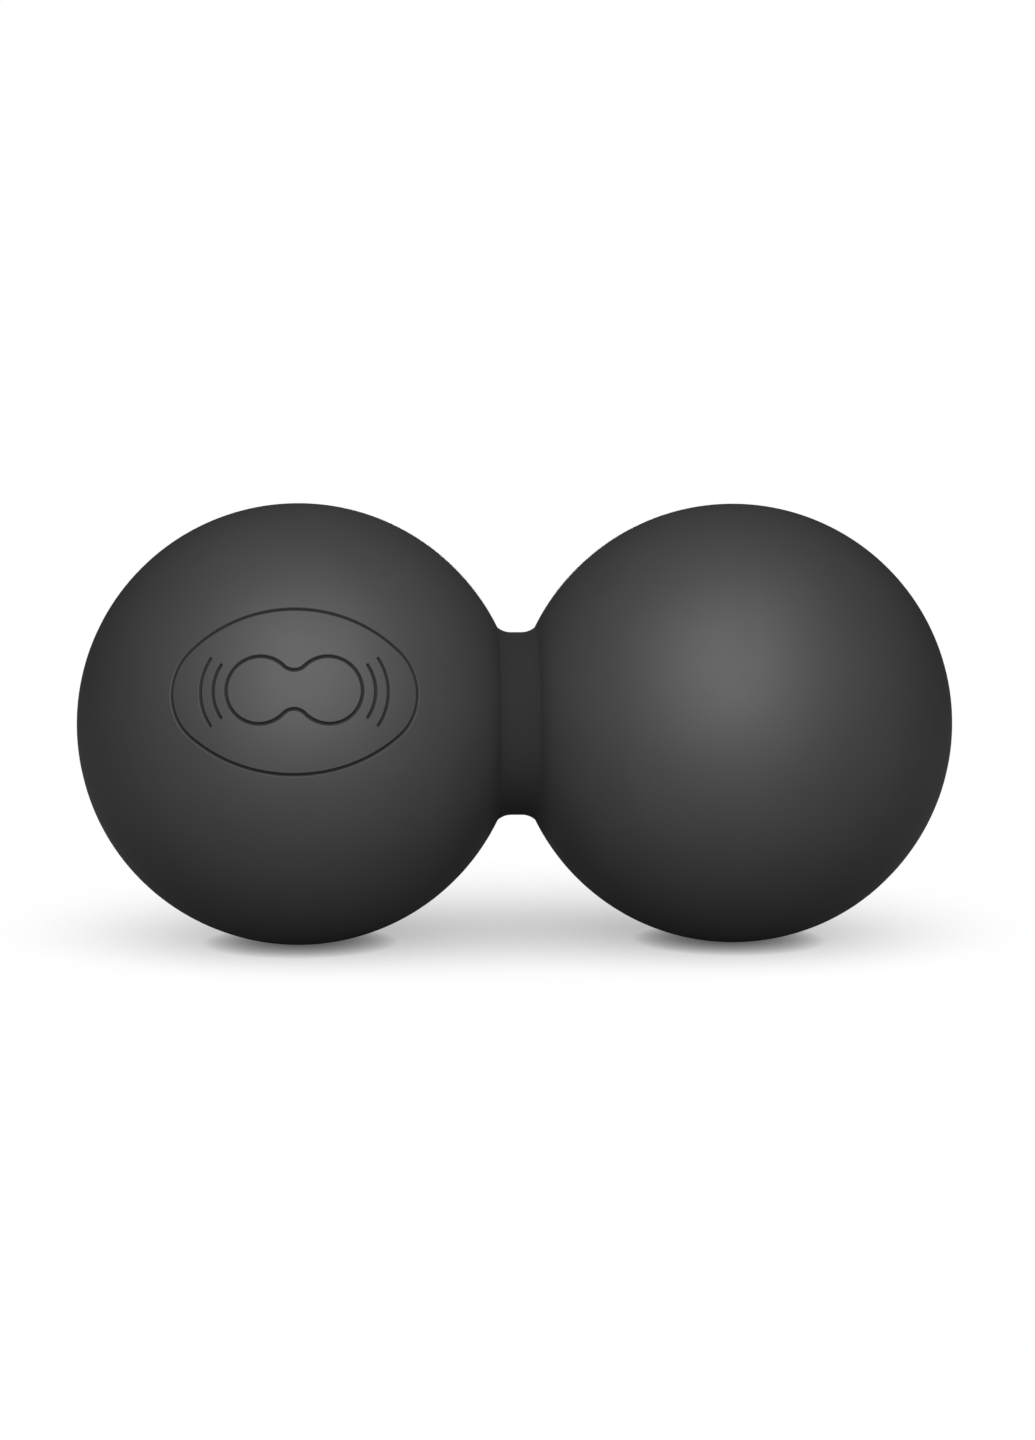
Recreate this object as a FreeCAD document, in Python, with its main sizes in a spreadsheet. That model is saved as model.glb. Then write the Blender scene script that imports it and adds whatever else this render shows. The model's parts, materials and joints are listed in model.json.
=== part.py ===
"""Double massage ball: two equal round balls of silicone rubber on one short, flexible waist.

Every sub-part is turned about the long axis X, so each is a half profile, drawn in the plane of the
long axis and revolved. The profiles are drawn about the middle of the waist, with the emblem facing -Y.
LIE then turns the finished pieces about X and lifts them, so that the balls rest on the plane Z = 0.

From the outside inwards each ball is
  a cover, moulded in two half shells that meet at the mould's parting plane,
  a firm core in two half balls, whose joint lies square to the cover's,
  a bulb of the link, the dog-bone that runs through the waist and ties the two balls together.
Millimetres and degrees throughout.
"""

import FreeCAD, Part
import math
import os
import Sketcher

Vector, Rotation, Placement = FreeCAD.Vector, FreeCAD.Rotation, FreeCAD.Placement

# Driving dimensions, with what each one is.
DIMENSIONS = [
    ("ball_radius", 31.5, "outside of each ball"),
    ("ball_spacing", 62.0, "between the two ball centres"),
    ("crease_radius", 13.85, "circle on which the waist meets a ball"),
    ("waist_radius", 13.1, "thinnest part of the waist"),
    ("waist_fillet", 3.0, "hollow curve at each end of the waist"),
    ("core_radius", 21.0, "outside of each core"),
    ("bulb_radius", 9.0, "round end of the link, inside a core"),
    ("link_radius", 6.0, "stem of the link"),
    ("link_fillet", 4.0, "hollow curve between stem and bulb"),
    ("bond_gap", 0.05, "bond line between two moulded layers"),
    ("resting_turn", 14.0, "how far the emblem is turned up from level at rest"),
    ("groove_radius", 0.2, "half the width, and the depth, of an emblem line"),
    ("emblem_half_width", 17.8, "oval outline, along X"),
    ("emblem_half_height", 11.6, "oval outline, across X"),
    ("emblem_end_radius", 8.0, "tight arcs at the two ends of the oval"),
    ("sign_ball_radius", 4.6, "each round of the two-ball sign inside the oval"),
    ("sign_spacing", 9.4, "between the centres of those rounds"),
    ("sign_fillet", 2.0, "hollow curve between those rounds"),
    ("swing_mark_gap", 1.9, "from the sign to its first swing mark, and on to the second"),
    ("swing_mark_angle", 34.0, "half the angle of a swing mark"),
]

doc = FreeCAD.newDocument("double_massage_ball")
sheet = doc.addObject("Spreadsheet::Sheet", "Sizes")
for row, (alias, value, meaning) in enumerate(DIMENSIONS, start=1):
    sheet.set(f"A{row}", meaning)
    sheet.set(f"B{row}", str(value))
    sheet.setAlias(f"B{row}", alias)
doc.recompute()
size = {alias: float(sheet.get(alias)) for alias, _, _ in DIMENSIONS}

# Where the flat end of a ball is, as a distance from the middle of the waist.
CREASE = "Sizes.ball_spacing / 2 - sqrt(Sizes.ball_radius ^ 2 - Sizes.crease_radius ^ 2)"
crease_x = size["ball_spacing"] / 2 - math.sqrt(size["ball_radius"] ** 2 - size["crease_radius"] ** 2)

START, END, CENTRE = 1, 2, 3  # Sketcher's numbers for the points of a line or an arc
X_LINE, Y_LINE = -1, -2  # Sketcher's numbers for the sketch's own axes
HALF, WHOLE = 180, 360  # turns, in degrees

# What takes a piece of the left ball to the right one: covers keep their front, cores keep their top.
HALF_TURN_Y = Placement(Vector(), Rotation(Vector(0, 1, 0), HALF))
HALF_TURN_Z = Placement(Vector(), Rotation(Vector(0, 0, 1), HALF))
LIE = Placement(Vector(0, 0, size["ball_radius"]), Rotation(Vector(1, 0, 0), -size["resting_turn"]))


# ---------------------------------------------------------------- sketches
def new_body(label, plane):
    """An empty body and a sketch on one of its origin planes."""
    body = doc.addObject("PartDesign::Body", label)
    sketch = body.newObject("Sketcher::SketchObject", label + "_profile")
    base = next(o for o in body.Origin.OriginFeatures if o.Role == plane)
    sketch.AttachmentSupport = [(base, "")]
    sketch.MapMode = "FlatFace"
    return body, sketch


def add_line(sketch, start, end):
    return sketch.addGeometry(Part.LineSegment(Vector(*start, 0), Vector(*end, 0)), False)


def add_arc(sketch, centre, radius, first, last):
    """An arc of a circle, anticlockwise from angle first to angle last, in radians."""
    circle = Part.Circle(Vector(*centre, 0), Vector(0, 0, 1), radius)
    return sketch.addGeometry(Part.ArcOfCircle(circle, first, last), False)


def fix(sketch, name, expression, kind, *where):
    """A named dimension, driven by the sheet. The last of where is its value as drawn."""
    index = sketch.addConstraint(Sketcher.Constraint(kind, *where))
    sketch.renameConstraint(index, name)
    sketch.setExpression("Constraints." + name, expression)


def tie(sketch, kind, *where):
    """A constraint with no value of its own."""
    sketch.addConstraint(Sketcher.Constraint(kind, *where))


def join_loop(sketch, joints):
    """Closes a loop of lines and arcs. Each joint is (geometry, its point, geometry, its point)."""
    for joint in joints:
        tie(sketch, "Coincident", *joint)


def on_axis(sketch, geometry, point):
    tie(sketch, "PointOnObject", geometry, point, X_LINE)


def height(sketch, name, geometry, point, value, expression):
    """How far a point stands off the long axis."""
    fix(sketch, name, expression, "DistanceY", X_LINE, START, geometry, point, value)


def revolve(body, sketch, label, angle, backwards=False):
    """Turns the profile about the long axis, through a whole turn or half of one."""
    turned = body.newObject("PartDesign::Revolution", label + "_turned")
    turned.Profile = sketch
    turned.ReferenceAxis = (sketch, ["H_Axis"])
    turned.Angle = angle
    turned.Reversed = backwards
    sketch.Visibility = False
    return turned


# ---------------------------------------------------------------- covers
def cover_half(label, backwards):
    """Half of the left ball's cover: the skin, the flat end at the waist, and the hollow for what is inside."""
    body, sketch = new_body(label, "XZ_Plane")
    middle = -size["ball_spacing"] / 2
    outside, crease = size["ball_radius"], size["crease_radius"]
    hollow = size["core_radius"] + size["bond_gap"]
    bore = size["link_radius"] + size["bond_gap"]
    bore_end = middle + math.sqrt(hollow**2 - bore**2)

    skin = add_arc(sketch, (middle, 0), outside, math.atan2(crease, -crease_x - middle), math.pi)
    flat = add_line(sketch, (-crease_x, crease), (-crease_x, bore))
    neck = add_line(sketch, (-crease_x, bore), (bore_end, bore))
    inner = add_arc(sketch, (middle, 0), hollow, math.atan2(bore, bore_end - middle), math.pi)
    pole = add_line(sketch, (middle - hollow, 0), (middle - outside, 0))
    join_loop(
        sketch,
        [
            (skin, START, flat, START),
            (flat, END, neck, START),
            (neck, END, inner, START),
            (inner, END, pole, START),
            (pole, END, skin, END),
            (skin, CENTRE, inner, CENTRE),
        ],
    )
    on_axis(sketch, skin, CENTRE)
    on_axis(sketch, skin, END)
    on_axis(sketch, inner, END)
    tie(sketch, "Vertical", flat)
    tie(sketch, "Horizontal", neck)
    fix(sketch, "outside", "Sizes.ball_radius", "Radius", skin, outside)
    fix(sketch, "hollow", "Sizes.core_radius + Sizes.bond_gap", "Radius", inner, hollow)
    fix(sketch, "reach", "Sizes.ball_spacing / 2", "DistanceX", skin, CENTRE, X_LINE, START, -middle)
    height(sketch, "crease", skin, START, crease, "Sizes.crease_radius")
    height(sketch, "bore", neck, START, bore, "Sizes.link_radius + Sizes.bond_gap")
    revolve(body, sketch, label, HALF, backwards)
    return body


# ---------------------------------------------------------------- waist sleeve
def waist_sleeve(label):
    """The ring of silicone between the two balls: a short cylinder that flares into each crease."""
    body, sketch = new_body(label, "XZ_Plane")
    bore = size["link_radius"] + size["bond_gap"]
    thin, crease, fillet = size["waist_radius"], size["crease_radius"], size["waist_fillet"]
    rise = thin + fillet - crease
    level = crease_x - math.sqrt(fillet**2 - rise**2)
    lean = math.asin(rise / fillet)

    bottom = add_line(sketch, (-crease_x, bore), (crease_x, bore))
    right = add_line(sketch, (crease_x, bore), (crease_x, crease))
    right_flare = add_arc(sketch, (level, thin + fillet), fillet, 1.5 * math.pi, 2 * math.pi - lean)
    top = add_line(sketch, (level, thin), (-level, thin))
    left_flare = add_arc(sketch, (-level, thin + fillet), fillet, math.pi + lean, 1.5 * math.pi)
    left = add_line(sketch, (-crease_x, crease), (-crease_x, bore))
    join_loop(
        sketch,
        [
            (bottom, END, right, START),
            (right, END, right_flare, END),
            (left_flare, START, left, START),
            (left, END, bottom, START),
        ],
    )
    tie(sketch, "Tangent", right_flare, START, top, START)
    tie(sketch, "Tangent", top, END, left_flare, END)
    for line in (bottom, top):
        tie(sketch, "Horizontal", line)
    for line in (right, left):
        tie(sketch, "Vertical", line)
    tie(sketch, "Equal", right_flare, left_flare)
    tie(sketch, "Symmetric", left, START, right, END, Y_LINE)
    fix(sketch, "fillet", "Sizes.waist_fillet", "Radius", right_flare, fillet)
    fix(sketch, "half_width", CREASE, "DistanceX", X_LINE, START, right, END, crease_x)
    height(sketch, "bore", bottom, START, bore, "Sizes.link_radius + Sizes.bond_gap")
    height(sketch, "thin", top, START, thin, "Sizes.waist_radius")
    height(sketch, "crease", right, END, crease, "Sizes.crease_radius")
    revolve(body, sketch, label, WHOLE)
    return body


# ---------------------------------------------------------------- link and cores
def dog_bone_half(sketch, gap, inner_end):
    """Stem, hollow curve and bulb of the left half of the link, grown by gap. The stem runs to inner_end.
    Returns the stem, whose END is at inner_end, and the bulb, whose END is its pole on the axis."""
    middle = -size["ball_spacing"] / 2
    stem_r, bulb_r = size["link_radius"] + gap, size["bulb_radius"] + gap
    curve_r = size["link_fillet"] - gap
    reach = math.sqrt((bulb_r + curve_r) ** 2 - (stem_r + curve_r) ** 2)
    meet = math.atan2(stem_r + curve_r, reach)
    stem_start = middle + reach
    grown = "" if gap == 0 else " + Sizes.bond_gap"
    shrunk = "" if gap == 0 else " - Sizes.bond_gap"

    stem = add_line(sketch, (stem_start, stem_r), (inner_end, stem_r))
    curve = add_arc(sketch, (stem_start, stem_r + curve_r), curve_r, math.pi + meet, 1.5 * math.pi)
    bulb = add_arc(sketch, (middle, 0), bulb_r, meet, math.pi)
    tie(sketch, "Tangent", curve, END, stem, START)
    tie(sketch, "Tangent", bulb, START, curve, START)
    tie(sketch, "Horizontal", stem)
    on_axis(sketch, bulb, CENTRE)
    on_axis(sketch, bulb, END)
    fix(sketch, "bulb", "Sizes.bulb_radius" + grown, "Radius", bulb, bulb_r)
    fix(sketch, "curve", "Sizes.link_fillet" + shrunk, "Radius", curve, curve_r)
    fix(sketch, "reach", "Sizes.ball_spacing / 2", "DistanceX", bulb, CENTRE, X_LINE, START, -middle)
    height(sketch, "stem", stem, START, stem_r, "Sizes.link_radius" + grown)
    return stem, bulb


def waist_link(label):
    """The dog-bone: half of it turned, then mirrored in the middle of the waist."""
    body, sketch = new_body(label, "XZ_Plane")
    stem, bulb = dog_bone_half(sketch, 0, 0)
    stem_r, pole = size["link_radius"], -size["ball_spacing"] / 2 - size["bulb_radius"]
    end_face = add_line(sketch, (0, stem_r), (0, 0))
    axis = add_line(sketch, (0, 0), (pole, 0))
    join_loop(
        sketch,
        [
            (stem, END, end_face, START),
            (end_face, END, axis, START),
            (axis, END, bulb, END),
        ],
    )
    tie(sketch, "Vertical", end_face)
    tie(sketch, "Coincident", end_face, END, X_LINE, START)
    turned = revolve(body, sketch, label, WHOLE)
    doc.recompute()
    whole = body.newObject("PartDesign::Mirrored", label + "_mirrored")
    whole.Originals = [turned]
    whole.MirrorPlane = (next(o for o in body.Origin.OriginFeatures if o.Role == "YZ_Plane"), [""])
    body.Tip = whole
    return body


def core_half(label, backwards):
    """Half of the left ball's core, hollowed for the link's bulb and stem."""
    body, sketch = new_body(label, "XY_Plane")
    gap, outside = size["bond_gap"], size["core_radius"]
    middle = -size["ball_spacing"] / 2
    stem_r, bulb_r = size["link_radius"] + gap, size["bulb_radius"] + gap
    mouth = middle + math.sqrt(outside**2 - stem_r**2)
    stem, bulb = dog_bone_half(sketch, gap, mouth)
    skin = add_arc(sketch, (middle, 0), outside, math.atan2(stem_r, mouth - middle), math.pi)
    pole = add_line(sketch, (middle - bulb_r, 0), (middle - outside, 0))
    join_loop(
        sketch,
        [
            (stem, END, skin, START),
            (skin, END, pole, END),
            (pole, START, bulb, END),
            (skin, CENTRE, bulb, CENTRE),
        ],
    )
    on_axis(sketch, skin, END)
    fix(sketch, "outside", "Sizes.core_radius", "Radius", skin, outside)
    revolve(body, sketch, label, HALF, backwards)
    return body


# ---------------------------------------------------------------- emblem
def on_ball(u, v):
    """The point of the left ball that a point of the flat emblem drawing goes to.
    The mapping is stereographic, so circles stay circles and tangent arcs stay tangent."""
    radius = size["ball_radius"]
    flat = math.hypot(u, v)
    angle = 2 * math.atan(flat / (2 * radius))
    spread = math.sin(angle) / flat
    direction = Vector(u * spread, -math.cos(angle), v * spread)
    return Vector(-size["ball_spacing"] / 2, 0, 0) + direction * radius


def flat_arc(centre, radius, first, last):
    """An arc of the flat drawing, from angle first to angle last in degrees, as an edge on the ball."""
    points = []
    for angle in (first, (first + last) / 2, last):
        turn = math.radians(angle)
        points.append(on_ball(centre[0] + radius * math.cos(turn), centre[1] + radius * math.sin(turn)))
    return Part.Arc(*points).toShape()


def oval_outline():
    """Four tangent arcs: two long ones above and below, two tight ones at the ends."""
    half_width, half_height = size["emblem_half_width"], size["emblem_half_height"]
    end_radius = size["emblem_end_radius"]
    offset = half_width - end_radius
    rise = half_height - end_radius
    drop = (offset**2 - rise**2) / (2 * rise)
    long_radius = half_height + drop
    lean = math.degrees(math.atan2(drop, offset))
    return [
        flat_arc((offset, 0), end_radius, -lean, lean),
        flat_arc((0, -drop), long_radius, lean, 180 - lean),
        flat_arc((-offset, 0), end_radius, 180 - lean, 180 + lean),
        flat_arc((0, drop), long_radius, 180 + lean, 360 - lean),
    ]


def two_ball_sign():
    """The object's own outline, small: two rounds joined by two hollow curves."""
    radius, fillet, offset = size["sign_ball_radius"], size["sign_fillet"], size["sign_spacing"] / 2
    lift = math.sqrt((radius + fillet) ** 2 - offset**2)
    lean = math.degrees(math.atan2(lift, offset))
    return [
        flat_arc((offset, 0), radius, lean - 180, 180 - lean),
        flat_arc((0, lift), fillet, -lean, lean - 180),
        flat_arc((-offset, 0), radius, lean, 360 - lean),
        flat_arc((0, -lift), fillet, 180 - lean, lean),
    ]


def groove_along(edges):
    """The round cutter's path as a solid. An open path ends in half balls."""
    wire = Part.Wire(edges)
    start = wire.Edges[0]
    origin = start.valueAt(start.FirstParameter)
    heading = start.tangentAt(start.FirstParameter)
    cutter = Part.Wire(Part.makeCircle(size["groove_radius"], origin, heading))
    solid = wire.makePipeShell([cutter], True, True)
    if wire.isClosed():
        return [solid]
    ends = [vertex.Point for vertex in (wire.Vertexes[0], wire.Vertexes[-1])]
    return [solid] + [Part.makeSphere(size["groove_radius"], end) for end in ends]


def emblem_grooves():
    """Every line of the emblem: the oval, the two-ball sign, and two swing marks on each side of it."""
    solids = groove_along(oval_outline()) + groove_along(two_ball_sign())
    offset, spread = size["sign_spacing"] / 2, size["swing_mark_angle"]
    for count in (1, 2):
        radius = size["sign_ball_radius"] + count * size["swing_mark_gap"]
        solids += groove_along([flat_arc((offset, 0), radius, -spread, spread)])
        solids += groove_along([flat_arc((-offset, 0), radius, 180 - spread, 180 + spread)])
    tool = doc.addObject("Part::Feature", "emblem_grooves")
    tool.Shape = Part.makeCompound(solids)
    return tool


# ---------------------------------------------------------------- assembly
def emblem_cover(label):
    """The left ball's front cover, with the emblem cut into it."""
    cut = doc.addObject("Part::Cut", label)
    cut.Base = cover_half(label + "_blank", False)
    cut.Tool = emblem_grooves()
    return cut


pieces = {
    "left_cover_front": (emblem_cover("left_cover_front"), LIE),
    "left_cover_rear": (cover_half("left_cover_rear", True), LIE),
    "right_cover_front": (cover_half("right_cover_front", False), LIE * HALF_TURN_Y),
    "right_cover_rear": (cover_half("right_cover_rear", True), LIE * HALF_TURN_Y),
    "waist_sleeve": (waist_sleeve("waist_sleeve"), LIE),
    "waist_link": (waist_link("waist_link"), LIE),
    "left_core_upper": (core_half("left_core_upper", False), LIE),
    "left_core_lower": (core_half("left_core_lower", True), LIE),
    "right_core_upper": (core_half("right_core_upper", False), LIE * HALF_TURN_Z),
    "right_core_lower": (core_half("right_core_lower", True), LIE * HALF_TURN_Z),
}
doc.recompute()
for name, (piece, place) in pieces.items():
    piece.Label = name
    piece.Placement = place
doc.recompute()

for item in doc.Objects:
    if {"Invalid", "Error"} & set(item.State):
        raise RuntimeError(f"{item.Name} failed: {item.State}")
for name, (piece, _) in pieces.items():
    if piece.Shape.isNull() or not piece.Shape.isValid():
        raise RuntimeError(f"{name} has no valid shape")

os.makedirs("parts", exist_ok=True)
for name, (piece, _) in pieces.items():
    piece.Shape.exportStep(f"parts/{piece.Label}.step")
    box = piece.Shape.optimalBoundingBox()
    low = f"({box.XMin:.2f}, {box.YMin:.2f}, {box.ZMin:.2f})"
    high = f"({box.XMax:.2f}, {box.YMax:.2f}, {box.ZMax:.2f})"
    print(f"{name:18} {piece.Shape.Volume:9.1f} mm3  {len(piece.Shape.Solids)} solid  {low} to {high}")
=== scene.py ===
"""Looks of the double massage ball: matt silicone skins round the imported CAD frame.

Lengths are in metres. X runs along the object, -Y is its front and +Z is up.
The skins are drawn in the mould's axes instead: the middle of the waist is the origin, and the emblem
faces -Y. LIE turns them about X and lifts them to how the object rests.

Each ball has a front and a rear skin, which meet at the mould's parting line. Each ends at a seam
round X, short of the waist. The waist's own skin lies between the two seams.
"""

import json
import math

import bpy
import numpy as np
from mathutils import Matrix, Quaternion, Vector
from mathutils.geometry import delaunay_2d_cdt
from mathutils.kdtree import KDTree


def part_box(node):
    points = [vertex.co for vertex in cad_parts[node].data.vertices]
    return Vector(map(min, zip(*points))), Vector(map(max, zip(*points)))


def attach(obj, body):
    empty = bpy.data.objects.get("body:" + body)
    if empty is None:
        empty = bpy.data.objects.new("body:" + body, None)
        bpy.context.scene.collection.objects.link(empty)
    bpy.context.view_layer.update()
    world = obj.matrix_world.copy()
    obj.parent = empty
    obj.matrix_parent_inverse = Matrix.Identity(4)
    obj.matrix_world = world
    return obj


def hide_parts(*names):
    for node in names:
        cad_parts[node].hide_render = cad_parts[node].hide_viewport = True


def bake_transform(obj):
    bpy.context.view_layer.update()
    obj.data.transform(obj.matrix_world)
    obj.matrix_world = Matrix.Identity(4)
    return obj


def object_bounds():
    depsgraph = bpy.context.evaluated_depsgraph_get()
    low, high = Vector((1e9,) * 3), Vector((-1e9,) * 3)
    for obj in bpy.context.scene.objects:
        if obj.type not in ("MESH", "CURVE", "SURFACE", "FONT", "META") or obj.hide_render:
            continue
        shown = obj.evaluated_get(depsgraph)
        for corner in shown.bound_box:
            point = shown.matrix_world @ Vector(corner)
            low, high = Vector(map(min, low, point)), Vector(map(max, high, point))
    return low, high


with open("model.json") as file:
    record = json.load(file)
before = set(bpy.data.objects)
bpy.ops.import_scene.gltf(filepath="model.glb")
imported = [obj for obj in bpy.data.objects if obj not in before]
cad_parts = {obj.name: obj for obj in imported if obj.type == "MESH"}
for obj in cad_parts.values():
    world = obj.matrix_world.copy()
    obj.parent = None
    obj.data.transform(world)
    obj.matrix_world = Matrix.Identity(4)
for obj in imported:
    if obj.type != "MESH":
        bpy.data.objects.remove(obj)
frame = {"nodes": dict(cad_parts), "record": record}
cad_low, cad_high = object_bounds()

MM = 0.001

# ---------------------------------------------------------------- sizes that the frame gives
ball_radius = (cad_high.z - cad_low.z) / 2
ball_spacing = (cad_high.x - cad_low.x) - 2 * ball_radius
waist = next(mount for mount in frame["record"]["mounts"] if mount["name"] == "waist")
waist_radius = waist["dims"]["r_mm"] * MM
sleeve_low, sleeve_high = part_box("waist_sleeve")
crease_radius = (sleeve_high.z - sleeve_low.z) / 2
crease_x = ball_spacing / 2 - math.sqrt(ball_radius**2 - crease_radius**2)
link_low, link_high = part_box("waist_link")
bulb_radius = (link_high.z - link_low.z) / 2
core_low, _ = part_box("left_core_upper")
core_radius = -ball_spacing / 2 - core_low.x
ball_centre = np.array([-ball_spacing / 2, 0, 0])  # of the left ball, in the mould's axes

# ---------------------------------------------------------------- sizes that it doesn't
RESTING_TURN = math.radians(14)  # the emblem faces up by this much
WAIST_FILLET = 3 * MM  # radius of the hollow curve between the waist's straight middle and a crease
CREASE_SOFTNESS = 0.3 * MM  # radius in the bottom of a crease
BOND_GAP = 0.05 * MM  # of glue, between one layer and the next
LINK_RADIUS = 6 * MM
LINK_FILLET = 4 * MM
bore_radius = LINK_RADIUS + BOND_GAP  # of the hole that the link runs through
hollow_radius = core_radius + BOND_GAP  # of the space for a ball's core

SEAM_X = -8 * MM  # where a left skin ends and the waist's skin begins
SEAM_GAP = 0.002 * MM  # the two are this far apart, because one turns against the other
BEND_REACH = 4.2 * MM  # the link's stem has its own rows over this much of the waist, next to the middle
seam_reach = SEAM_X - ball_centre[0]
seam_radius = math.sqrt(ball_radius**2 - seam_reach**2)

SKIN_STEP = 1.1 * MM  # about the size of the triangles on open skin
WELD_SIZE = 1e-5 * MM  # points that round to the same multiples of this are one point
BORE_ROWS = 4  # rows of points along the bore in a ball's skin
WAIST_ROWS = (36, 7, 16, 6)  # along the ball, the crease, the flare and the straight middle
WAIST_BORE_ROWS = 33
LINK_ROWS = (40, 12, 12, 18)  # along the bulb, the hollow curve, the stem and its last stretch, next to the middle
LINK_TURN_STEPS = 96

STROKE_STEP = 0.25 * MM  # along a line of the emblem
GROOVE_REACH = 0.31 * MM  # from the middle of an emblem line to where its softened edge ends
GROOVE_DEPTH = 0.4 * MM
GROOVE_STEPS = 8  # from the middle of a line to its edge
CAP_STEPS = 10  # round the end of an open line
HALO = 0.4 * MM  # a row of points beside each line, between its fine faces and the open skin's
CROWDED = 0.95  # a halo point nearer to another line than this share of the halo's reach is left out
IN_GROOVE = 1.2  # a triangle nearer to a line than this many times GROOVE_REACH isn't open skin
LIP_REACH = 0.28 * MM  # from the middle of the raised parting line to its edge
LIP_HEIGHT = 0.05 * MM
LIP_STEPS = 5
LIP_FADE = 5 * MM  # the parting line is trimmed away over this much, towards the waist

EMBLEM_HALF_WIDTH = 17.8 * MM
EMBLEM_HALF_HEIGHT = 11.6 * MM
EMBLEM_END_RADIUS = 8 * MM
SIGN_BALL_RADIUS = 4.6 * MM
SIGN_SPACING = 9.4 * MM
SIGN_FILLET = 2 * MM
SWING_MARK_GAP = 1.9 * MM
SWING_MARK_ANGLE = 34

LIE = Matrix.Translation((0, 0, ball_radius)) @ Matrix.Rotation(-RESTING_TURN, 4, "X")
TO_REAR = Matrix.Rotation(math.pi, 4, "X")  # from the front half of a ball to its rear half
TO_RIGHT = Matrix.Rotation(math.pi, 4, "Y")  # from the left ball to the right ball


# ---------------------------------------------------------------- surfaces
# A surface is (points, normals, faces). A piece is made of several, which meet edge to edge.
def bell(share):
    """1 at share 0, falling smoothly to 0 at share 1."""
    return (1 - share**2) ** 2


def bell_slope(share):
    """How fast bell rises with share."""
    return -4 * share * (1 - share**2)


def eased(values, low, high):
    """Rises smoothly from 0 at low to 1 at high."""
    share = np.clip((values - low) / (high - low), 0, 1)
    return share**2 * (3 - 2 * share)


def unit(vectors):
    return vectors / np.linalg.norm(vectors, axis=-1, keepdims=True)


def grid(points, normals):
    """A surface from points in rows and columns."""
    rows, columns = points.shape[:2]
    number = np.arange(rows * columns).reshape(rows, columns)
    corners = [number[:-1, :-1], number[1:, :-1], number[1:, 1:], number[:-1, 1:]]
    faces = np.stack(corners, axis=-1).reshape(-1, 4)
    return points.reshape(-1, 3), normals.reshape(-1, 3), faces


def wound(surface):
    """The same surface, with each face wound so that its front is on the side of its normals."""
    points, normals, faces = surface
    first, second, third, last = (points[faces[:, i]] for i in (0, 1, -2, -1))
    across = np.cross(third - first, last - second)
    backwards = (across * normals[faces].mean(axis=1)).sum(axis=1) < 0
    faces = faces.copy()
    faces[backwards] = faces[backwards][:, ::-1]
    return points, normals, faces


def build_piece(name, surfaces, place):
    """One closed mesh. Points that coincide become one, and each corner keeps its own exact normal."""
    surfaces = [wound(surface) for surface in surfaces]
    points = np.concatenate([surface[0] for surface in surfaces])
    normals = np.concatenate([surface[1] for surface in surfaces])
    starts = np.cumsum([0] + [len(surface[0]) for surface in surfaces])
    cells = np.round(points / WELD_SIZE).astype(np.int64)
    _, kept, same = np.unique(cells, axis=0, return_index=True, return_inverse=True)
    same = same.ravel()
    turn = np.array(place.to_3x3())
    points = points[kept] @ turn.T + np.array(place.translation)
    normals = normals @ turn.T

    faces, corners = [], []
    for start, (_, _, own_faces) in zip(starts, surfaces):
        for face in (own_faces + start).tolist():
            used = [i for n, i in enumerate(face) if same[i] != same[face[n - 1]]]
            if len(used) > 2:
                faces.append([same[i] for i in used])
                corners.extend(used)
    mesh = bpy.data.meshes.new(name)
    mesh.from_pydata(points.tolist(), [], faces)
    mesh.shade_smooth()
    mesh.normals_split_custom_set(normals[corners].tolist())
    piece = bpy.data.objects.new(name, mesh)
    bpy.context.scene.collection.objects.link(piece)
    return piece


# ---------------------------------------------------------------- outlines turned about X
# An outline is (points, normals) in the plane of x and r, the distance from the long axis.
def arc(centre, radius, first, last, count, hollow=False):
    """A round stretch of an outline. The normals of a hollow one face its centre."""
    angles = np.linspace(first, last, count)
    out = np.column_stack([np.cos(angles), np.sin(angles)])
    return np.array(centre) + radius * out, -out if hollow else out


def straight(start, end, normal, count=2):
    """A straight stretch of an outline."""
    return np.linspace(start, end, count), np.tile(np.array(normal, float), (count, 1))


def in_line(*stretches):
    """Stretches of an outline, or of a line of the emblem, end to end."""
    return tuple(np.concatenate(parts) for parts in zip(*stretches))


def turned(outline, angles):
    """The surface that an outline sweeps. Angle 0 is the front and a right angle is the top."""

    def swept(pairs):
        x, r = pairs[:, 0, None], pairs[:, 1, None]
        return np.stack([x + 0 * angles, -r * np.cos(angles), r * np.sin(angles)], axis=-1)

    points, normals = outline
    return grid(swept(points), swept(normals))


def half_turn_angles():
    """From straight down, round the front, to straight up. They are close together at the parting line."""
    near = np.arccos(np.linspace(0, 1, LIP_STEPS + 1) * LIP_REACH / seam_radius)
    between = np.linspace(-near[-1], near[-1], round(2 * near[-1] * seam_radius / SKIN_STEP) + 1)
    return np.concatenate([-near, between[1:-1], near[::-1]])


# ---------------------------------------------------------------- the emblem, drawn flat
# Flat points are (u, v) about the point of the left ball that faces -Y. A line of the drawing is
# (points, sides): where it runs, and the unit vectors to its left.
def to_ball(flat):
    """Directions from the ball's centre. The mapping is stereographic, so circles stay circles."""
    fall = (flat**2).sum(axis=-1, keepdims=True) / (2 * ball_radius) ** 2
    u, v = flat[..., 0:1] / ball_radius, flat[..., 1:2] / ball_radius
    return np.concatenate([u, fall - 1, v], axis=-1) / (1 + fall)


def to_flat(directions):
    """The inverse of to_ball."""
    return 2 * ball_radius * directions[..., [0, 2]] / (1 - directions[..., 1:2])


def flat_arc(centre, radius, first, last):
    """Points and sides along an arc, from angle first to angle last in degrees."""
    count = math.ceil(abs(math.radians(last - first)) * radius / STROKE_STEP) + 1
    angles = np.radians(np.linspace(first, last, count))
    out = np.column_stack([np.cos(angles), np.sin(angles)])
    return np.array(centre) + radius * out, -out if last > first else out


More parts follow.
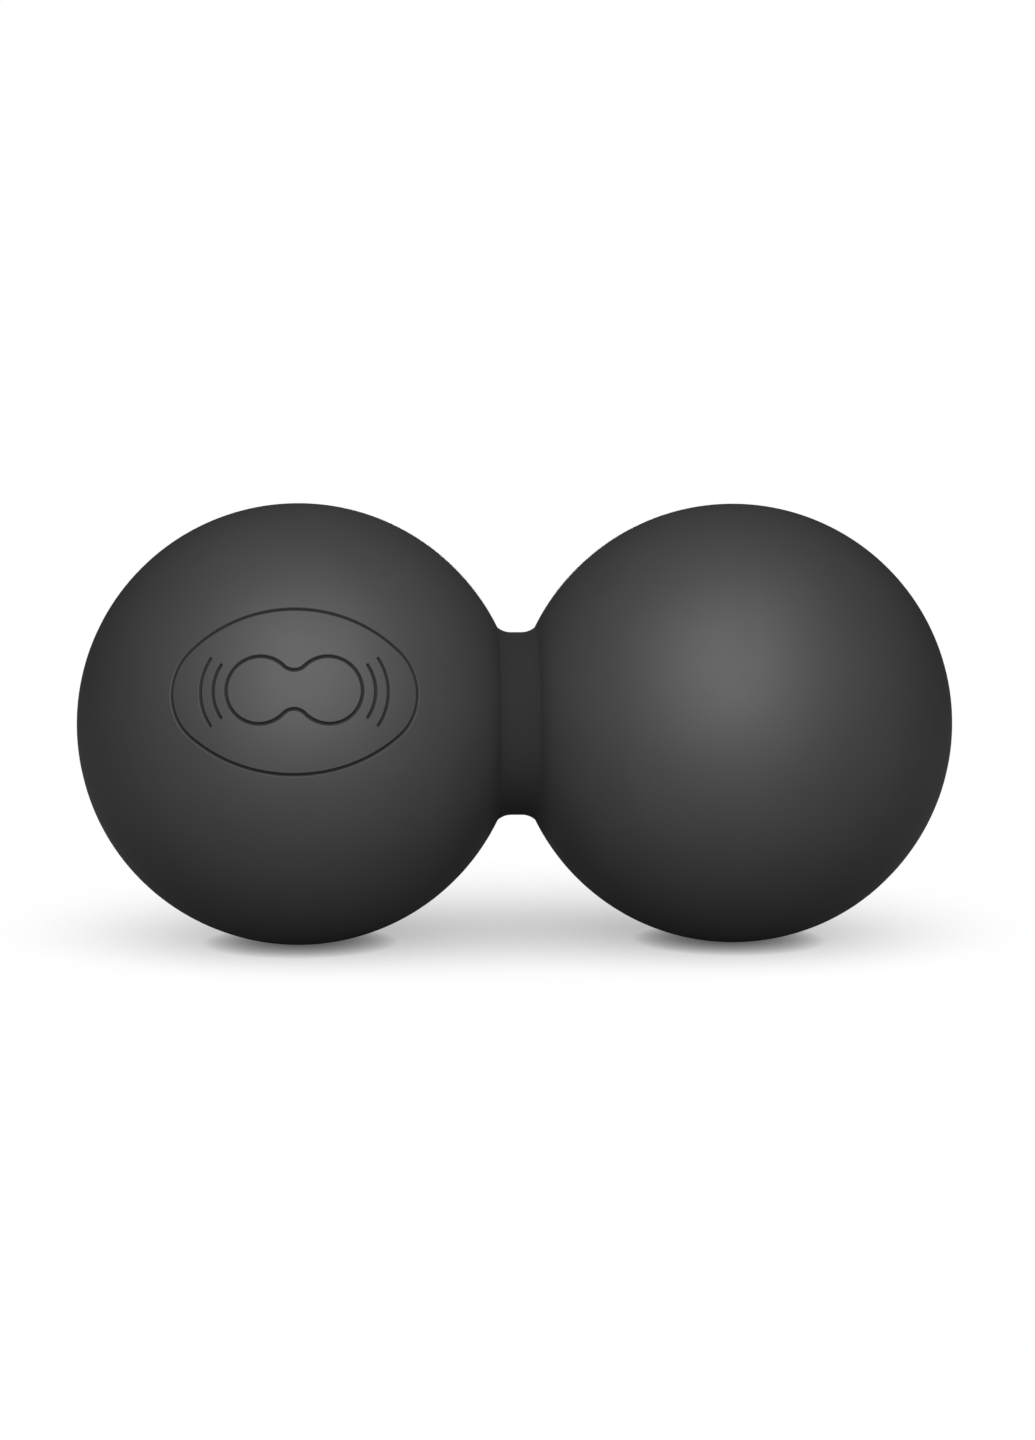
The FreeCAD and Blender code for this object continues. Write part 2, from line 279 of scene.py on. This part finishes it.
def oval_outline():
    """Four tangent arcs: two long ones above and below, two tight ones at the ends."""
    offset = EMBLEM_HALF_WIDTH - EMBLEM_END_RADIUS
    rise = EMBLEM_HALF_HEIGHT - EMBLEM_END_RADIUS
    drop = (offset**2 - rise**2) / (2 * rise)
    long_radius = EMBLEM_HALF_HEIGHT + drop
    lean = math.degrees(math.atan2(drop, offset))
    return [
        flat_arc((offset, 0), EMBLEM_END_RADIUS, -lean, lean),
        flat_arc((0, -drop), long_radius, lean, 180 - lean),
        flat_arc((-offset, 0), EMBLEM_END_RADIUS, 180 - lean, 180 + lean),
        flat_arc((0, drop), long_radius, 180 + lean, 360 - lean),
    ]


def two_ball_sign():
    """The object's own outline, small: two rounds joined by two hollow curves."""
    offset = SIGN_SPACING / 2
    lift = math.sqrt((SIGN_BALL_RADIUS + SIGN_FILLET) ** 2 - offset**2)
    lean = math.degrees(math.atan2(lift, offset))
    return [
        flat_arc((offset, 0), SIGN_BALL_RADIUS, lean - 180, 180 - lean),
        flat_arc((0, lift), SIGN_FILLET, -lean, lean - 180),
        flat_arc((-offset, 0), SIGN_BALL_RADIUS, lean, 360 - lean),
        flat_arc((0, -lift), SIGN_FILLET, 180 - lean, lean),
    ]


def swing_marks():
    """Two short arcs beyond each end of the two-ball sign."""
    offset, spread = SIGN_SPACING / 2, SWING_MARK_ANGLE
    marks = []
    for count in (1, 2):
        radius = SIGN_BALL_RADIUS + count * SWING_MARK_GAP
        marks.append(flat_arc((offset, 0), radius, -spread, spread))
        marks.append(flat_arc((-offset, 0), radius, 180 - spread, 180 + spread))
    return marks


def closed_line(arcs):
    """A closed line as two loops, one for each side of it."""
    points = np.concatenate([points[:-1] for points, _ in arcs])
    sides = np.concatenate([sides[:-1] for _, sides in arcs])
    return [(points, sides), (points, -sides)]


def open_line(points, sides):
    """An open line as one loop: up its left side, round its end, down its right side, round its start."""

    def cap(point, side):
        turns = np.linspace(0, -math.pi, CAP_STEPS + 1)[1:-1]
        around = [Matrix.Rotation(turn, 2) @ Vector(side) for turn in turns]
        return np.tile(point, (len(turns), 1)), np.array(around)

    right_side = points[::-1], -sides[::-1]
    end, start = cap(points[-1], sides[-1]), cap(points[0], -sides[0])
    return [in_line((points, sides), end, right_side, start)]


def emblem_loops():
    """The emblem's lines as loops. The sides of a loop point away from its line."""
    loops = closed_line(oval_outline()) + closed_line(two_ball_sign())
    for points, sides in swing_marks():
        loops += open_line(points, sides)
    return loops


# ---------------------------------------------------------------- the outside of half a ball
def beside(loop, distance):
    """Flat points at a distance from a loop's line, as measured on the ball."""
    points, sides = loop
    stretch = 1 + (points**2).sum(axis=1, keepdims=True) / (2 * ball_radius) ** 2
    return points + distance * stretch * sides


def groove(loop):
    """One side of an emblem line: from its deepest point out to where the skin is level again."""
    shares = np.linspace(0, 1, GROOVE_STEPS + 1)
    flat = np.stack([beside(loop, share * GROOVE_REACH) for share in shares], axis=1)
    ahead = np.stack([beside(loop, share * GROOVE_REACH + STROKE_STEP) for share in shares], axis=1)
    flat = np.concatenate([flat, flat[:1]])
    ahead = np.concatenate([ahead, ahead[:1]])
    out = to_ball(flat)
    away = unit(to_ball(ahead) - out)
    depth = GROOVE_DEPTH * bell(shares)[None, :, None]
    climb = -GROOVE_DEPTH / GROOVE_REACH * bell_slope(shares)[None, :, None]
    return grid(ball_centre + (ball_radius - depth) * out, unit(out - climb * away))


def parting_lip():
    """The fine raised edge along the parting plane, which stops short of the waist. Rows run along it."""
    shares = np.linspace(0, 1, LIP_STEPS + 1)
    away = shares * LIP_REACH
    around = np.sqrt(ball_radius**2 - away**2)
    ends = np.arccos(-seam_reach / around)
    half_rows = round(ends[0] * ball_radius / SKIN_STEP)
    angles = np.linspace(-1, 1, 2 * half_rows + 1)[:, None] * ends
    out = np.stack([-around * np.cos(angles), -away + 0 * angles, around * np.sin(angles)], axis=-1)
    out /= ball_radius
    height = LIP_HEIGHT * eased(seam_reach - out[..., 0:1] * ball_radius, 0, LIP_FADE)
    slope = height / LIP_REACH * bell_slope(shares)[None, :, None]
    front = np.array([0.0, -1.0, 0.0])
    down_slope = unit(front - out * (out @ front)[..., None])
    points = ball_centre + (ball_radius + height * bell(shares)[None, :, None]) * out
    return points, unit(out - slope * down_slope)


def spread_directions():
    """Directions all over the front half, about SKIN_STEP apart, in rings about the front."""
    rings = [np.array([[0.0, -1.0, 0.0]])]
    for ring in range(1, int(math.pi / 2 * ball_radius / SKIN_STEP) + 1):
        tilt = ring * SKIN_STEP / ball_radius
        count = round(2 * math.pi * math.sin(tilt) * ball_radius / SKIN_STEP)
        angles = 2 * math.pi * (np.arange(count) + ring % 2 / 2) / count
        side = math.sin(tilt)
        level = np.full(count, -math.cos(tilt))
        rings.append(np.column_stack([side * np.cos(angles), level, side * np.sin(angles)]))
    return np.concatenate(rings)


def nearest_distances(directions, tree):
    """Distance along the ball, nearly, from each direction to the tree's nearest one."""
    return np.array([tree.find(Vector(direction))[2] for direction in directions]) * ball_radius


def line_tree(loops):
    """Finds how far a direction is from the nearest emblem line. A plain ball has one far point instead."""
    far_away = np.array([[0.0, 9.0, 0.0]])
    lines = [to_ball(points) for points, _ in loops] or [far_away]
    tree = KDTree(sum(len(line) for line in lines))
    for number, direction in enumerate(np.concatenate(lines)):
        tree.insert(Vector(direction), number)
    tree.balance()
    return tree


def regions(faces, walls):
    """The triangles in groups. Only triangles that share an edge which isn't a wall are in one group."""
    beside_edge = {}
    for number, face in enumerate(faces.tolist()):
        for i in range(3):
            edge = frozenset((face[i - 1], face[i]))
            if edge not in walls:
                beside_edge.setdefault(edge, []).append(number)
    neighbours = [[] for _ in faces]
    for pair in beside_edge.values():
        if len(pair) == 2:
            neighbours[pair[0]].append(pair[1])
            neighbours[pair[1]].append(pair[0])
    seen = set()
    for start in range(len(faces)):
        if start in seen:
            continue
        group, waiting = [], [start]
        seen.add(start)
        while waiting:
            number = waiting.pop()
            group.append(number)
            fresh = [other for other in neighbours[number] if other not in seen]
            seen.update(fresh)
            waiting += fresh
        yield group


def open_skin(loops, lip_points, angles):
    """The skin between the emblem lines, the parting lip and the seam, as triangles."""
    tree = line_tree(loops)
    edge_row = (lip_points[:, -1] - ball_centre) / ball_radius
    inner = angles[LIP_STEPS + 1 : -LIP_STEPS - 1][::-1]
    seam_row = np.column_stack(
        [np.full(len(inner), seam_reach), -seam_radius * np.cos(inner), seam_radius * np.sin(inner)]
    )
    outlines = [to_ball(beside(loop, GROOVE_REACH)) for loop in loops]
    outlines.append(np.concatenate([edge_row, seam_row / ball_radius]))

    spread = spread_directions()
    margin = SKIN_STEP / 2
    before_seam = spread[:, 0] * ball_radius < seam_reach - margin
    before_lip = -spread[:, 1] * ball_radius > LIP_REACH + margin
    spread = spread[before_seam & before_lip]
    spread = spread[nearest_distances(spread, tree) > GROOVE_REACH + HALO + margin]
    every_other = slice(None, None, 2)
    halo = [to_ball(beside(loop, GROOVE_REACH + HALO))[every_other] for loop in loops]
    halo = [row[nearest_distances(row, tree) > GROOVE_REACH + CROWDED * HALO] for row in halo]

    out = np.concatenate(outlines + halo + [spread])
    edges, start = [], 0
    for outline in outlines:
        count = len(outline)
        edges += [(start + i, start + (i + 1) % count) for i in range(count)]
        start += count
    flat = [Vector(point) for point in (to_flat(out) / MM).tolist()]
    whole_hull, same_point = 0, 1e-5
    _, _, faces, used, _, _ = delaunay_2d_cdt(flat, edges, [], whole_hull, same_point)
    faces = np.array([[used[i][0] for i in face] for face in faces])

    middles = unit(out[faces].mean(axis=1))
    off_lines = nearest_distances(middles, tree) > IN_GROOVE * GROOVE_REACH
    on_skin = (middles[:, 0] * ball_radius < seam_reach) & off_lines
    kept = []
    for group in regions(faces, {frozenset(edge) for edge in edges}):
        if on_skin[group].any():
            kept += group
    return ball_centre + ball_radius * out, out, faces[kept]


# ---------------------------------------------------------------- skins of the balls
def hollow_outline(rows):
    """The inside of a skin, from the far pole round the core and along the link's bore to the seam."""
    mouth = math.asin(bore_radius / hollow_radius)
    mouth_x = ball_centre[0] + hollow_radius * math.cos(mouth)
    return in_line(
        arc(ball_centre[:2], hollow_radius, math.pi, mouth, rows - BORE_ROWS, hollow=True),
        straight((mouth_x, bore_radius), (SEAM_X, bore_radius), (0, -1), BORE_ROWS),
    )


def parting_face(lip_points, hollow):
    """The flat on which the front half meets the rear half."""
    points, _ = hollow
    top = np.column_stack([points[:, 0], 0 * points[:, 0], points[:, 1]])
    bottom = top * [1, 1, -1]
    inner = np.concatenate([bottom[::-1], top[1:]])
    both = np.stack([inner, lip_points[:, 0]], axis=1)
    return grid(both, np.broadcast_to([0.0, 1.0, 0.0], both.shape))


def half_skin(loops):
    """Front half of the left ball's skin as a closed shell."""
    angles = half_turn_angles()
    lip_points, lip_normals = parting_lip()
    hollow = hollow_outline(len(lip_points) // 2 + 1)
    surfaces = [groove(loop) for loop in loops]
    surfaces += [
        grid(lip_points, lip_normals),
        open_skin(loops, lip_points, angles),
        parting_face(lip_points, hollow),
        turned(hollow, angles),
        turned(straight((SEAM_X, bore_radius), (SEAM_X, seam_radius), (1, 0)), angles),
    ]
    return surfaces


# ---------------------------------------------------------------- skin of the waist, and the link
def whole_turn_angles():
    """The angles of a front half and then of a rear half."""
    front = half_turn_angles()
    return np.concatenate([front, front[1:] + math.pi])


def crease_circle(flare_centre):
    """Centre of the small circle that rounds the crease: it touches the ball and the flare."""
    ball_reach = ball_radius + CREASE_SOFTNESS
    flare_reach = WAIST_FILLET - CREASE_SOFTNESS
    between = flare_centre - ball_centre[:2]
    length = np.linalg.norm(between)
    along = (ball_reach**2 - flare_reach**2 + length**2) / (2 * length)
    across = math.sqrt(ball_reach**2 - along**2)
    towards = between / length
    return ball_centre[:2] + along * towards + across * np.array([towards[1], -towards[0]])


def waist_outline():
    """The left half of the waist: round of the ball, softened crease, hollow flare and straight middle."""
    rise = waist_radius + WAIST_FILLET - crease_radius
    level_x = math.sqrt(WAIST_FILLET**2 - rise**2) - crease_x
    flare_centre = np.array([level_x, waist_radius + WAIST_FILLET])
    crease_centre = crease_circle(flare_centre)
    to_crease = crease_centre - ball_centre[:2]
    from_flare = crease_centre - flare_centre
    ball_end = math.atan2(to_crease[1], to_crease[0])
    flare_start = math.atan2(from_flare[1], from_flare[0]) + 2 * math.pi
    ball_start = math.acos((seam_reach + SEAM_GAP) / ball_radius)
    ball_rows, crease_rows, flare_rows, middle_rows = WAIST_ROWS
    return in_line(
        arc(ball_centre[:2], ball_radius, ball_start, ball_end, ball_rows),
        arc(crease_centre, CREASE_SOFTNESS, ball_end + math.pi, flare_start, crease_rows, hollow=True),
        arc(flare_centre, WAIST_FILLET, flare_start, 1.5 * math.pi, flare_rows, hollow=True),
        straight((level_x, waist_radius), (0, waist_radius), (0, 1), middle_rows),
    )


def waist_skin():
    """Left half of the waist's skin, from the seam to the middle, with the link's bore through it."""
    angles = whole_turn_angles()
    outside = waist_outline()
    start = outside[0][0]
    return [
        turned(outside, angles),
        turned(straight((start[0], bore_radius), (0, bore_radius), (0, -1), WAIST_BORE_ROWS), angles),
        turned(straight((start[0], bore_radius), start, (-1, 0)), angles),
        turned(straight((0, bore_radius), (0, waist_radius), (1, 0)), angles),
    ]


def link_half():
    """Left half of the dog-bone: bulb, hollow curve and stem, cut square at the middle of the waist."""
    angles = np.linspace(0, 2 * math.pi, LINK_TURN_STEPS + 1)
    rise = LINK_RADIUS + LINK_FILLET
    reach = math.sqrt((bulb_radius + LINK_FILLET) ** 2 - rise**2)
    meet = math.atan2(rise, reach)
    stem_x = ball_centre[0] + reach
    bulb_rows, curve_rows, stem_rows, bend_rows = LINK_ROWS
    outline = in_line(
        arc(ball_centre[:2], bulb_radius, math.pi, meet, bulb_rows),
        arc((stem_x, rise), LINK_FILLET, math.pi + meet, 1.5 * math.pi, curve_rows, hollow=True),
        straight((stem_x, LINK_RADIUS), (-BEND_REACH, LINK_RADIUS), (0, 1), stem_rows),
        straight((-BEND_REACH, LINK_RADIUS), (0, LINK_RADIUS), (0, 1), bend_rows),
    )
    return [turned(outline, angles), turned(straight((0, 0), (0, LINK_RADIUS), (1, 0)), angles)]


# ---------------------------------------------------------------- materials
ROUGH_AND_SHADE = "rough_and_shade"  # each point of a skin says how rough it is there and how much painted shade darkens its colour, from 0 to 1
WAIST_ROUGH_AND_SHADE_FADE = (2.4 * MM, 5 * MM)  # it goes from rough and shaded to plain between these distances from the middle
LINE_ROUGH_AND_SHADE_FADE = (0.1, 0.5)  # and from plain to rough and shaded between these shares of an emblem line's depth
DEEPEST = 1.01  # points any deeper are inside the skin

SILICONE_IOR = 1.43
COVER_COLOURS = (0.0275, 0.0275, 0.028), (0.0295, 0.0295, 0.03)
# painted shade: the darker colour round the waist, between the balls, and in the emblem's grooves
COVER_PAINTED_SHADE_COLOUR = (0.0098, 0.0098, 0.0102)
COVER_ROUGHNESS = 0.61, 0.63
CLOUD_SIZE = 9 * MM  # of the faint blotches of colour
HANDLED_SIZE = 5 * MM  # of the patches of more and less gloss
GRAIN_SIZE, GRAIN_DEPTH = 0.12 * MM, 0.0015 * MM
WAVE_SIZE, WAVE_DEPTH = 1.5 * MM, 0.003 * MM  # of the skin's slight unevenness

LINK_COLOURS = (0.095, 0.1, 0.105), (0.13, 0.135, 0.14)
LINK_ROUGHNESS = 0.38, 0.48
FLOW_SIZE, FLOW_DEPTH = 1.2 * MM, 0.01 * MM
FLOW_STRETCH = (0.15, 1, 1)  # the flow marks are long in X

CORE_COLOURS = (0.045, 0.045, 0.047), (0.065, 0.065, 0.067)
CORE_ROUGHNESS = 0.72, 0.86
FLECK_COLOUR = (0.16, 0.16, 0.17)
FLECK_START, FLECK_FULL = 0.86, 0.9  # a granule whose random shade is above these is a fleck
GRANULE_SIZE, PIT_DEPTH = 1.6 * MM, 0.05 * MM
CORE_CLOUD_SIZE = 3 * MM
NOISE_MIDDLE = 0.3, 0.7  # nearly all of a noise's values are between these


def new_material(name):
    material = bpy.data.materials.new(name)
    material.use_nodes = True
    nodes, links = material.node_tree.nodes, material.node_tree.links
    place = nodes.new("ShaderNodeTexCoord").outputs["Object"]
    return material, nodes, links, nodes["Principled BSDF"], place


def noise(nodes, links, place, size, detail=2.0):
    """A noise whose blotches are about size across."""
    node = nodes.new("ShaderNodeTexNoise")
    node.inputs["Scale"].default_value = 1 / size
    node.inputs["Detail"].default_value = detail
    links.new(place, node.inputs["Vector"])
    return node.outputs["Fac"]


def ramp(nodes, links, value, low, high, from_low=NOISE_MIDDLE[0], from_high=NOISE_MIDDLE[1]):
    """Turns from_low into low and from_high into high, evenly between, and level beyond."""
    node = nodes.new("ShaderNodeMapRange")
    limits = {"From Min": from_low, "From Max": from_high, "To Min": low, "To Max": high}
    for socket, number in limits.items():
        node.inputs[socket].default_value = number
    links.new(value, node.inputs["Value"])
    return node.outputs["Result"]


def feed(links, socket, value):
    """Gives a node's input a number, a colour, or another node's output."""
    if isinstance(value, bpy.types.NodeSocket):
        links.new(value, socket)
    elif isinstance(value, tuple):
        socket.default_value = (*value, 1)
    else:
        socket.default_value = value


def mixed(nodes, links, factor, first, second, kind="RGBA"):
    """Goes from first to second as factor goes from 0 to 1. Kind is RGBA for colours, FLOAT for numbers."""
    node = nodes.new("ShaderNodeMix")
    node.data_type = kind
    for socket, value in {"Factor": factor, "A": first, "B": second}.items():
        feed(links, node.inputs[socket], value)
    return node.outputs["Result"]


def bump(nodes, links, height, depth, normal=None):
    """A bump whose full height is depth."""
    node = nodes.new("ShaderNodeBump")
    node.inputs["Strength"].default_value = 1
    node.inputs["Distance"].default_value = depth
    links.new(height, node.inputs["Height"])
    if normal is not None:
        links.new(normal, node.inputs["Normal"])
    return node.outputs["Normal"]


def cover_silicone():
    """Near-black silicone: faint grain and uneven gloss. Round the waist and in the emblem's lines it is
    duller, and its colour is darkened there with painted shade.
    """
    material, nodes, links, shader, place = new_material("cover_silicone")
    rough_and_shade = nodes.new("ShaderNodeAttribute")
    rough_and_shade.attribute_name = ROUGH_AND_SHADE
    rough_and_shaded_zone = rough_and_shade.outputs["Fac"]
    cloud = noise(nodes, links, place, CLOUD_SIZE)
    colour = mixed(nodes, links, ramp(nodes, links, cloud, 0, 1), *COVER_COLOURS)
    # painted shade: the colour is darkened where the mask is high, round the waist and in the emblem's
    # lines
    links.new(mixed(nodes, links, rough_and_shaded_zone, colour, COVER_PAINTED_SHADE_COLOUR), shader.inputs["Base Color"])
    handled = ramp(nodes, links, noise(nodes, links, place, HANDLED_SIZE, detail=3), *COVER_ROUGHNESS)
    links.new(mixed(nodes, links, rough_and_shaded_zone, handled, 1, kind="FLOAT"), shader.inputs["Roughness"])
    grain = bump(nodes, links, noise(nodes, links, place, GRAIN_SIZE, detail=1), GRAIN_DEPTH)
    skin = bump(nodes, links, noise(nodes, links, place, WAVE_SIZE), WAVE_DEPTH, grain)
    links.new(skin, shader.inputs["Normal"])
    shader.inputs["IOR"].default_value = SILICONE_IOR
    return material


def link_silicone():
    """Grey, tougher silicone with faint flow marks along the stem."""
    material, nodes, links, shader, place = new_material("link_silicone")
    stretch = nodes.new("ShaderNodeMapping")
    stretch.inputs["Scale"].default_value = FLOW_STRETCH
    links.new(place, stretch.inputs["Vector"])
    flow = noise(nodes, links, stretch.outputs["Vector"], FLOW_SIZE, detail=3)
    colour = mixed(nodes, links, ramp(nodes, links, flow, 0, 1), *LINK_COLOURS)
    links.new(colour, shader.inputs["Base Color"])
    links.new(ramp(nodes, links, flow, *LINK_ROUGHNESS), shader.inputs["Roughness"])
    links.new(bump(nodes, links, flow, FLOW_DEPTH), shader.inputs["Normal"])
    shader.inputs["IOR"].default_value = SILICONE_IOR
    return material


def core_rubber():
    """Firm rubber pressed from granules: dark, with lighter flecks and a pebbled surface."""
    material, nodes, links, shader, place = new_material("core_rubber")
    granules = nodes.new("ShaderNodeTexVoronoi")
    granules.inputs["Scale"].default_value = 1 / GRANULE_SIZE
    links.new(place, granules.inputs["Vector"])
    shade = nodes.new("ShaderNodeSeparateColor")
    links.new(granules.outputs["Color"], shade.inputs["Color"])
    fleck = ramp(nodes, links, shade.outputs["Red"], 0, 1, FLECK_START, FLECK_FULL)
    cloud = noise(nodes, links, place, CORE_CLOUD_SIZE)
    plain = mixed(nodes, links, ramp(nodes, links, cloud, 0, 1), *CORE_COLOURS)
    links.new(mixed(nodes, links, fleck, plain, FLECK_COLOUR), shader.inputs["Base Color"])
    links.new(ramp(nodes, links, cloud, *CORE_ROUGHNESS), shader.inputs["Roughness"])
    links.new(bump(nodes, links, granules.outputs["Distance"], -PIT_DEPTH), shader.inputs["Normal"])
    return material


# ---------------------------------------------------------------- the object
def paint(piece, material):
    piece.data.materials.clear()
    piece.data.materials.append(material)


def dress(piece, material):
    paint(piece, material)


def mark_rough_and_shade(piece):
    """Stores where the mould is left rough and the colour is darkened with painted shade: round the waist
    and along the emblem's lines.
    """
    points = np.array([vertex.co for vertex in piece.data.vertices])
    # near the middle of the waist the skin is rough, and painted shade darkens its colour between the balls
    at_waist = 1 - eased(np.abs(points[:, 0]), *WAIST_ROUGH_AND_SHADE_FADE)
    centre = np.array(LIE @ Vector(ball_centre))  # the emblem is on the left ball
    depth = (ball_radius - np.linalg.norm(points - centre, axis=1)) / GROOVE_DEPTH
    # in the grooves the skin is rough, and painted shade darkens its colour
    in_groove = np.where(depth < DEEPEST, eased(depth, *LINE_ROUGH_AND_SHADE_FADE), 0)
    layer = piece.data.attributes.new(ROUGH_AND_SHADE, "FLOAT", "POINT")
    layer.data.foreach_set("value", np.maximum(at_waist, in_groove))


def dress_skin(piece, material):
    mark_rough_and_shade(piece)
    dress(piece, material)


def make_ball_skins(material):
    """Four skins, one for each CAD cover. Only the left front one carries the emblem."""
    plain, marked = half_skin([]), half_skin(emblem_loops())
    skins = [
        ("left_skin_front", marked, LIE, "left_ball", "left_cover_front"),
        ("left_skin_rear", plain, LIE @ TO_REAR, "left_ball", "left_cover_rear"),
        ("right_skin_front", plain, LIE @ TO_RIGHT, "right_ball", "right_cover_front"),
        ("right_skin_rear", plain, LIE @ TO_RIGHT @ TO_REAR, "right_ball", "right_cover_rear"),
    ]
    for name, surfaces, place, body, cover in skins:
        piece = build_piece(name, surfaces, place)
        dress_skin(piece, material)
        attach(piece, body)
        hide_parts(cover)


def bend_left(piece):
    """Bakes the placement into the points of the left half, which lies across the up-and-down bend between
    the sleeve and the link.
    """
    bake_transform(piece)


def bend_right(piece):
    """Bakes the placement into the points of the right half, which lies across the sideways bend between
    the link and the right ball.
    """
    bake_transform(piece)


def make_waist(skin_material, link_material):
    """The waist's skin and the link, each in two halves."""
    halves = [("left", LIE, bend_left), ("right", LIE @ TO_RIGHT, bend_right)]
    for side, place, bend in halves:
        skin = build_piece(f"waist_skin_{side}", waist_skin(), place)
        dress_skin(skin, skin_material)
        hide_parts("waist_sleeve")
        bend(skin)
        link = build_piece(f"waist_link_{side}", link_half(), place)
        dress(link, link_material)
        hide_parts("waist_link")
        bend(link)


def dress_cores(material):
    """The cores stay CAD solids, so they only get a material."""
    for name, node in frame["nodes"].items():
        if "_core_" in name:
            paint(node, material)


cover_material = cover_silicone()
make_ball_skins(cover_material)
make_waist(cover_material, link_silicone())
dress_cores(core_rubber())

# ---------------------------------------------------------------- camera
CAMERA_AZIMUTH = math.radians(-2.9)
CAMERA_ELEVATION = math.radians(5.5)
CAMERA_DISTANCE = 430 * MM  # to the point that it aims at
AIM_OFFSET = Vector((0.2, 0, 0.5)) * MM  # of that point from the middle of the waist
CAMERA_ROLL = math.radians(0.14)
VIEW_HEIGHT = 206.54 * MM  # what the picture takes in at that distance, from top to bottom
SENSOR = 36  # its longer side, upright here, in millimetres as the lens is
CLIP_NEAR, CLIP_FAR = 0.01, 20


def make_camera():
    """Nearly level, in front of the waist."""
    data = bpy.data.cameras.new("camera")
    data.sensor_width = SENSOR
    data.lens = CAMERA_DISTANCE * SENSOR / VIEW_HEIGHT
    data.clip_start, data.clip_end = CLIP_NEAR, CLIP_FAR
    camera = bpy.data.objects.new("camera", data)
    bpy.context.scene.collection.objects.link(camera)
    level = math.cos(CAMERA_ELEVATION)
    back = Vector(
        (math.sin(CAMERA_AZIMUTH) * level, -math.cos(CAMERA_AZIMUTH) * level, math.sin(CAMERA_ELEVATION))
    )
    aim = Vector((0, 0, ball_radius)) + AIM_OFFSET
    camera.location = aim + back * CAMERA_DISTANCE
    level_view = (-back).to_track_quat("-Z", "Y")
    camera.rotation_euler = (level_view @ Quaternion((0, 0, 1), CAMERA_ROLL)).to_euler()
    bpy.context.scene.camera = camera


make_camera()

# ---------------------------------------------------------------- floor and light
FLOOR_SIZE = 3.0
# The floor's shade is the sum of these, each a reach, an elevation in degrees and a weight. At full
# openness the sum is above 1, which shows as plain white.
SHADES = ((3 * MM, 90, 0.364), (100 * MM, 60, 0.797))
FLOOR_BOUNCE = 0.3  # light that the open floor throws up at the object
BOUNCE_REACH = 40 * MM
DOME = 0.036  # faint light on the object from all round


def area_light(name, azimuth, elevation, distance, size, power):
    """A soft light that faces the object. Azimuth 0 is the front, and angles are in degrees."""
    data = bpy.data.lights.new(name, "AREA")
    data.shape = "RECTANGLE"
    data.size, data.size_y = size
    data.energy = power
    light = bpy.data.objects.new(name, data)
    bpy.context.scene.collection.objects.link(light)
    turn, lift = math.radians(azimuth), math.radians(elevation)
    back = Vector((math.sin(turn) * math.cos(lift), -math.cos(turn) * math.cos(lift), math.sin(lift)))
    light.location = Vector((0, 0, ball_radius)) + back * distance
    light.rotation_euler = (-back).to_track_quat("-Z", "Y").to_euler()
    light.visible_camera = False


def openness(nodes, links, reach, elevation):
    """How little stands within reach of a floor point, on the side that faces up or up and forwards."""
    facing = nodes.new("ShaderNodeCombineXYZ")
    lift = math.radians(elevation)
    facing.inputs["Y"].default_value, facing.inputs["Z"].default_value = -math.cos(lift), math.sin(lift)
    node = nodes.new("ShaderNodeAmbientOcclusion")
    node.inputs["Distance"].default_value = reach
    links.new(facing.outputs["Vector"], node.inputs["Normal"])
    return node.outputs["AO"]


def floor_material():
    """A clear floor that shades the white backdrop, under the object and behind it.

    Only the camera sees it so. To the object it is a dim white surface, darker under each ball.
    """
    material = bpy.data.materials.new("floor_white")
    material.use_nodes = True
    nodes, links = material.node_tree.nodes, material.node_tree.links
    nodes.remove(nodes["Principled BSDF"])
    shade = 0
    for reach, elevation, weight in SHADES:
        part = nodes.new("ShaderNodeMath")
        part.operation = "MULTIPLY_ADD"
        part.use_clamp = True
        terms = openness(nodes, links, reach, elevation), weight, shade
        for socket, value in zip(part.inputs, terms):
            feed(links, socket, value)
        shade = part.outputs["Value"]
    clear = nodes.new("ShaderNodeBsdfTransparent")
    links.new(shade, clear.inputs["Color"])

    bounce = nodes.new("ShaderNodeEmission")
    open_floor = openness(nodes, links, BOUNCE_REACH, 90)
    links.new(ramp(nodes, links, open_floor, 0, FLOOR_BOUNCE, 0, 1), bounce.inputs["Strength"])
    mix = nodes.new("ShaderNodeMixShader")
    links.new(nodes.new("ShaderNodeLightPath").outputs["Is Camera Ray"], mix.inputs["Fac"])
    links.new(bounce.outputs["Emission"], mix.inputs[1])
    links.new(clear.outputs["BSDF"], mix.inputs[2])
    links.new(mix.outputs["Shader"], nodes["Material Output"].inputs["Surface"])
    return material


def make_floor():
    """A wide square that the object rests on. It casts no shadow itself."""
    half = FLOOR_SIZE / 2
    corners = [(-half, -half, 0), (half, -half, 0), (half, half, 0), (-half, half, 0)]
    mesh = bpy.data.meshes.new("floor")
    mesh.from_pydata(corners, [], [(0, 1, 2, 3)])
    mesh.materials.append(floor_material())
    floor = bpy.data.objects.new("floor", mesh)
    bpy.context.scene.collection.objects.link(floor)
    floor.visible_shadow = False


def make_world():
    """White to the camera, and a faint even light to everything else."""
    world = bpy.data.worlds.new("studio")
    bpy.context.scene.world = world
    world.use_nodes = True
    nodes, links = world.node_tree.nodes, world.node_tree.links
    backdrop = nodes["Background"]
    backdrop.inputs["Color"].default_value = (1, 1, 1, 1)
    strength = ramp(nodes, links, nodes.new("ShaderNodeLightPath").outputs["Is Camera Ray"], DOME, 1, 0, 1)
    links.new(strength, backdrop.inputs["Strength"])


make_floor()
make_world()
area_light("key", azimuth=-3, elevation=31, distance=0.3, size=(0.23, 0.33), power=1.87)
area_light("rear", azimuth=177, elevation=1.5, distance=3, size=(0.35, 0.12), power=28)
bpy.context.scene.view_settings.view_transform = "Standard"

bpy.context.view_layer.update()
